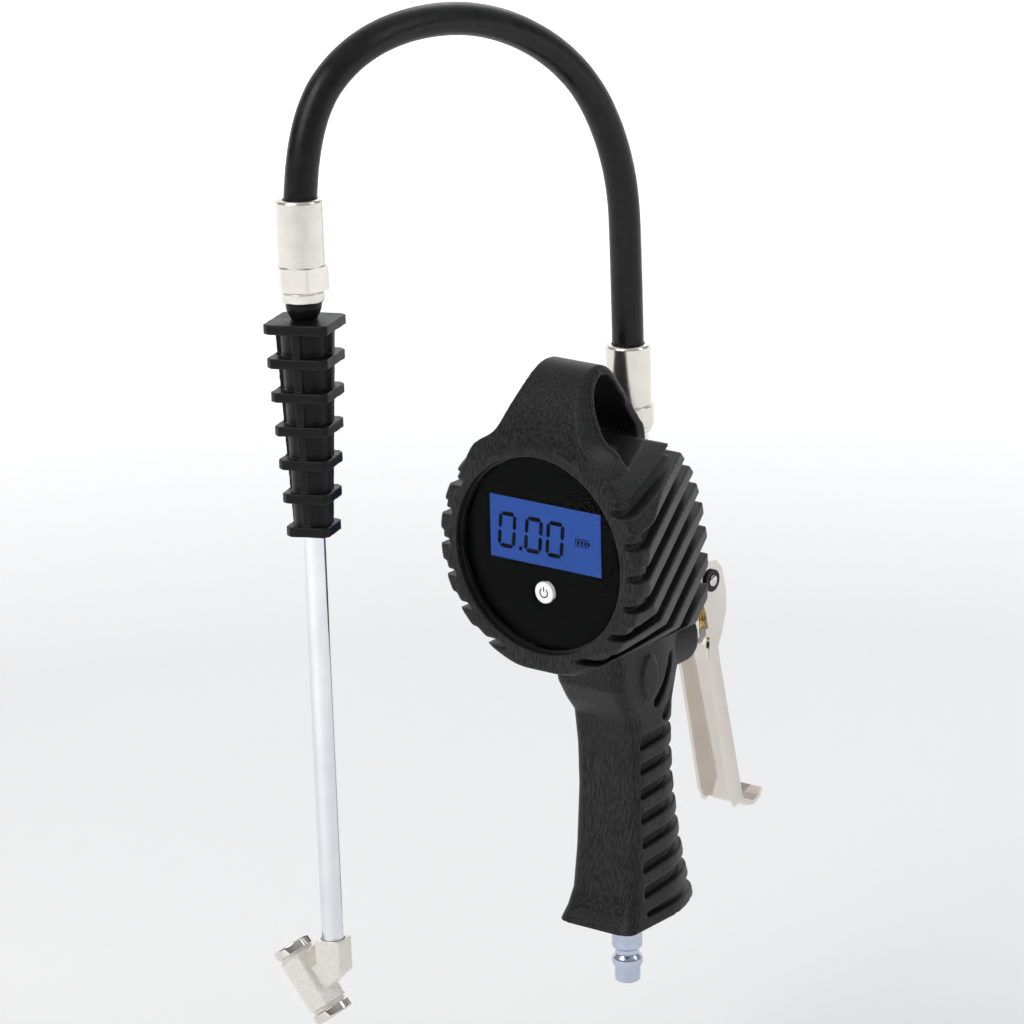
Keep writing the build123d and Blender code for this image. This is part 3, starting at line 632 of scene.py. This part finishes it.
def make_button():
    """Round key with a flange behind the faceplate, and a plain power symbol on it."""
    profile = [(0, -5.8), (4.15, -5.8), (4.15, -4.6), (5.35, -4.6), (5.35, -3.6), (4.15, -3.6), (4.15, -0.2),
               (3.95, 0.0), (2.6, 0.06), (0, 0.08)]
    matrix = axes_matrix((0, BUTTON_FRONT, BUTTON_Z), (1, 0, 0), (0, -1, 0))
    lathe("power_key", profile, matrix, "white_plastic", "power_button", 0.05, "power_button", SMALL_STEPS)
    ring = [(x, z + BUTTON_Z) for x, z in ring_bar(1.75, 0.5, 125, 415, 24)]
    stem = rectangle(-0.25, BUTTON_Z + 0.5, 0.25, BUTTON_Z + 2.4)
    flat_bars("power_mark", [ring, stem], BUTTON_FRONT - 0.02, 0.09, "power_button")


make_display()
make_button()
machined("faceplate", "gloss_black")
machined("lcd_panel", "lcd_blue")
machined("lens", "window")
machined("gauge_case", "black_plastic", 0.3)
machined("lens_gasket", "grip")

# ---------------------------------------------------------------- rubber boot and the metal behind it
moulded("rubber_boot", "boot", 0.5, 9, 0.35)
moulded("valve_body", "nickel", 0.4, 3, 0.35)
machined("rear_plug", "nickel", 0.3)
machined("gland_nut", "nickel", 0.25)


def make_pin():
    """Lever's pin with a low domed head on each end."""
    head = [(1.5, 9.05), (2.1, 9.05), (2.2, 9.2), (2.1, 9.4), (1.5, 9.65), (0, 9.75)]
    profile = [(radius, -height) for radius, height in reversed(head)] + head
    matrix = axes_matrix((0, PIVOT_Y, PIVOT_Z), (0, 1, 0), (1, 0, 0))
    lathe("headed_pin", profile, matrix, "bright", "pivot_pin", 0, steps=SMALL_STEPS)


make_pin()
machined("pin_clips", "oxide", 0.15)
machined("lever", "bright", 0.25)
machined("outlet_adapter", "nickel", 0.25)


def make_plunger():
    """Stem with a collar for its spring, a grooved front end and a domed button."""
    groove_start = 96.4
    groove_pitch = 1.6
    profile = [(0, 60), (2.2, 60), (2.2, 72.5), (4.9, 72.5), (4.9, 74.1), (2.2, 74.1), (2.2, 88), (3.4, 88),
               (3.4, groove_start)]
    for index in range(4):
        start = groove_start + groove_pitch * index
        profile += [(2.9, start + 0.4), (2.9, start + 0.7), (3.4, start + 1.1),
                    (3.4, start + groove_pitch)]
    profile += [(3.4, 103.4), (3.2, 103.6), (2.2, 103.8), (2.0, 105.0), (1.2, 105.3), (0, 105.3)]
    matrix = axes_matrix((0, 0, VALVE_Z), (1, 0, 0), (0, 1, 0))
    lathe("brass_plunger", profile, matrix, "brass", "valve_plunger", 0.08, "plunger", SMALL_STEPS)


make_plunger()


# ---------------------------------------------------------------- nipple, ferrules, wand
def make_nipple():
    """Push-in coupling: stepped tip, round bead, waist, plain body and the spigot inside the grip."""
    tip = [(2.8, -186), (4.5, -186), (5.0, -185.3), (5.0, -180.6)]
    bead = [(5.15, -180.0), (5.75, -179.2), (6.0, -178.2), (6.0, -176.9), (5.7, -175.9), (5.0, -175.1)]
    waist = [(4.65, -174.5), (4.6, -173.4), (4.9, -172.6), (5.6, -172.0)]
    body = [(5.95, -171.4), (5.95, -160), (7.4, -159.4), (7.4, -151.4)]
    spigot = [(4.4, -151.4), (4.4, -140), (2.8, -140)]
    matrix = axes_matrix((0, HANDLE_Y, 0), (1, 0, 0), (0, 0, 1))
    lathe("coupling_nipple", tip + bead + waist + body + spigot, matrix, "zinc", "inlet_nipple", 0.12)


def ferrule_profile(length, collar):
    """Thin rolled mouth, plain crimped sleeve, and an optional stout collar at the base."""
    outer = 8.5
    bore = 6.1
    passage = 3.0
    depth = 16
    foot = [(passage, -length), (outer - 0.4, -length), (outer, 0.4 - length)]
    if collar:
        foot += [(outer, -31.9), (9.0, -31.7), (9.3, -31.2), (9.3, -24.0), (9.0, -23.6), (outer, -23.3)]
    mouth = [(outer, -1.0), (outer - 0.35, -0.35), (outer - 0.9, 0), (bore + 0.5, 0), (bore, -0.5)]
    return foot + mouth + [(bore, -depth), (passage, -depth)]


def make_ferrules():
    """One crimped sleeve at each end of the hose."""
    upright = axes_matrix((0, SPINE_Y, FERRULE_TOP_Z), (1, 0, 0), (0, 0, 1))
    on_wand = wand_matrix(GRIP_TURN)
    lathe("outlet_ferrule", ferrule_profile(33.9, True), upright, "nickel", "body_ferrule", 0.15)
    lathe("hanging_ferrule", ferrule_profile(28.0, False), on_wand, "nickel", "wand_ferrule", 0.15)


make_nipple()
make_ferrules()
machined("swivel_nut", "nickel", 0.5)


def make_swivel():
    """Plain ring under the hexagon nut, and the rubber cone that leads into the grip."""
    ring = [(3.0, -37.4), (6.9, -37.4), (7.4, -37.0), (7.7, -36.4), (7.7, -33.6), (7.4, -33.1), (7.4, -32.7),
            (3.0, -32.7)]
    lathe("plain_ring", ring, wand_matrix(GRIP_TURN), "nickel", "swivel_ring", 0.12)
    cone = [(4.05, -43.4), (4.6, -43.4), (5.0, -42.6), (6.2, -40.0), (6.5, -38.6), (6.5, -37.5),
            (4.05, -37.5)]
    lathe("rubber_cone", cone, wand_matrix(GRIP_TURN), "grip", "grip_cone", 0.2)


make_swivel()
moulded("wand_grip", "grip", 0.35, 3, 0.5)


def make_tube():
    """Long tube from the cone down into the chuck's socket."""
    outer = 4.0
    inner = 2.8
    top = -37.5
    bottom = -279.1
    profile = [(outer, bottom), (outer, top), (inner, top), (inner, bottom)]
    lathe("chrome_wand", profile, wand_matrix(GRIP_TURN), "chrome", "wand_tube", 0.1)


make_tube()
moulded("chuck_body", "blasted", 0.22, 2, 0.5)


def barrel_matrix(sign):
    """Frame on the chuck barrel's axis, z out of its upper mouth, or out of the lower one for sign -1."""
    tilt = math.radians(BARREL_TILT)
    axis = Vector((-math.sin(tilt), 0, math.cos(tilt))) * sign
    across = Vector((0, 1, 0))
    rotation = Matrix((across.cross(axis), across, axis)).transposed().to_4x4()
    return wand_matrix(CHUCK_TURN) @ Matrix.Translation(Vector(BARREL_CENTRE)) @ rotation


def make_caps():
    """Polished ring nut with a dished face on each mouth of the chuck."""
    ring = [(6.42, 11.7), (7.0, 11.7), (7.45, 12.1), (7.5, 14.6), (7.2, 15.2), (6.6, 15.5), (5.7, 15.5),
            (5.3, 15.3), (4.6, 14.9), (4.0, 14.7), (4.0, 14.5), (6.42, 14.5)]
    for level, sign in (("upper", 1), ("lower", -1)):
        lathe(level + "_ring_nut", ring, barrel_matrix(sign), "bright", "chuck_cap_" + level, 0.12)


make_caps()
for level in ("upper", "lower"):
    machined("chuck_seal_" + level, "grip", 0.1)
    machined("chuck_pin_" + level, "brass", 0.1)


def spring(node):
    """Compression spring: a steel copy of the CAD part with a mesh of its own."""
    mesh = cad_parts[node].data.copy()
    coil = link(node + "_coil", mesh, "steel", replaces=(node,))
    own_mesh(coil)


def make_springs():
    """The lever valve's spring, and the one behind each of the chuck's pins."""
    spring("plunger_spring")
    for level, sign in (("upper", 1), ("lower", -1)):
        spring("chuck_spring_" + level)


make_springs()

# ---------------------------------------------------------------- inner pieces, seen only when opened
INNER = {"battery_door": "black_plastic", "door_screws": "steel", "button_switch": "black_plastic",
         "circuit_board": "zinc", "battery_holder": "black_plastic", "battery_upper": "brass",
         "battery_lower": "brass", "battery_contacts": "steel", "pressure_sensor": "steel",
         "sensor_seal": "grip", "handle_tube": "steel", "nipple_seal": "grip", "valve_seat": "grip",
         "plunger_seal": "grip"}
for node, material in INNER.items():
    machined(node, material)


# ---------------------------------------------------------------- studio
def paper():
    """White paper whose own glow rises away from the tool, so that bright metal keeps its shading."""
    shade = Shade("studio_paper", (0.9, 0.9, 0.9), 0.8)
    shade.color(shade.mix(shade.between(shade.noise(2, 2), 0, 1), (0.90, 0.90, 0.90), (0.88, 0.88, 0.88)))
    shade.set("Emission Color", (1, 1, 1, 1))
    reach = shade.nodes.new("ShaderNodeVectorMath")
    reach.operation = "LENGTH"
    shade.links.new(shade.coordinates(), reach.inputs[0])
    glow = shade.between(reach.outputs["Value"], 0.10, 0.60, 0.7, 1.6)
    shade.links.new(glow, shade.shader.inputs["Emission Strength"])
    return shade.material


def make_floor():
    """Pale sweep: a flat floor that curves up into a back wall."""
    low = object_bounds()[0].z - FLOOR_DROP
    run = [(-FLOOR_REACH, 0.0), (SWEEP_START, 0.0)]
    for step in range(1, SWEEP_STEPS + 1):
        angle = math.pi / 2 * step / SWEEP_STEPS
        run.append((SWEEP_START + SWEEP_RADIUS * math.sin(angle), SWEEP_RADIUS * (1 - math.cos(angle))))
    run.append((SWEEP_START + SWEEP_RADIUS, FLOOR_REACH))
    turn = Matrix.Rotation(math.radians(CAMERA_AZIMUTH), 4, "Z")
    shape = bmesh.new()
    left = [shape.verts.new(turn @ Vector((-FLOOR_REACH, y, low + z))) for y, z in run]
    right = [shape.verts.new(turn @ Vector((FLOOR_REACH, y, low + z))) for y, z in run]
    for index in range(len(run) - 1):
        face = shape.faces.new((left[index], right[index], right[index + 1], left[index + 1]))
        face.smooth = True
    mesh = bpy.data.meshes.new("studio_floor")
    shape.to_mesh(mesh)
    shape.free()
    mesh.materials.append(paper())
    floor = bpy.data.objects.new("studio_floor", mesh)
    bpy.context.scene.collection.objects.link(floor)


def area_light(name, azimuth, elevation, distance, size, power, color=(1, 1, 1), height=None):
    """Soft box aimed at the tool from a direction given as the camera's is."""
    data = bpy.data.lights.new(name, "AREA")
    data.shape = "RECTANGLE"
    data.size = size
    data.size_y = height or size
    data.energy = power
    data.color = color
    lamp = bpy.data.objects.new(name, data)
    back = direction(azimuth, elevation)
    facing = back.to_track_quat("Z", "Y").to_matrix().to_4x4()
    lamp.matrix_world = Matrix.Translation(back * distance) @ facing
    bpy.context.scene.collection.objects.link(lamp)


def make_world():
    """Surroundings that brighten from the floor up."""
    world = bpy.data.worlds.new("studio")
    world.use_nodes = True
    nodes = world.node_tree.nodes
    links = world.node_tree.links
    source = nodes.new("ShaderNodeTexCoord")
    split = nodes.new("ShaderNodeSeparateXYZ")
    ramp = nodes.new("ShaderNodeMapRange")
    links.new(source.outputs["Generated"], split.inputs["Vector"])
    links.new(split.outputs["Z"], ramp.inputs["Value"])
    for socket, number in (("From Min", 0.05), ("From Max", 0.9), ("To Min", 0.20), ("To Max", 0.55)):
        ramp.inputs[socket].default_value = number
    background = nodes["Background"]
    background.inputs["Color"].default_value = (0.96, 0.97, 1.0, 1)
    links.new(ramp.outputs["Result"], background.inputs["Strength"])
    bpy.context.scene.world = world


def make_lights():
    area_light("key_box", -12, 40, 1.6, 0.9, 12, (1.0, 0.99, 0.97), 1.1)
    area_light("side_box", 112, 30, 1.8, 0.4, 3.5, (0.97, 0.98, 1.0), 1.2)
    area_light("rear_box", 205, 30, 2.0, 0.8, 3)
    bpy.context.scene.view_settings.view_transform = "Standard"


make_floor()
make_world()
make_lights()
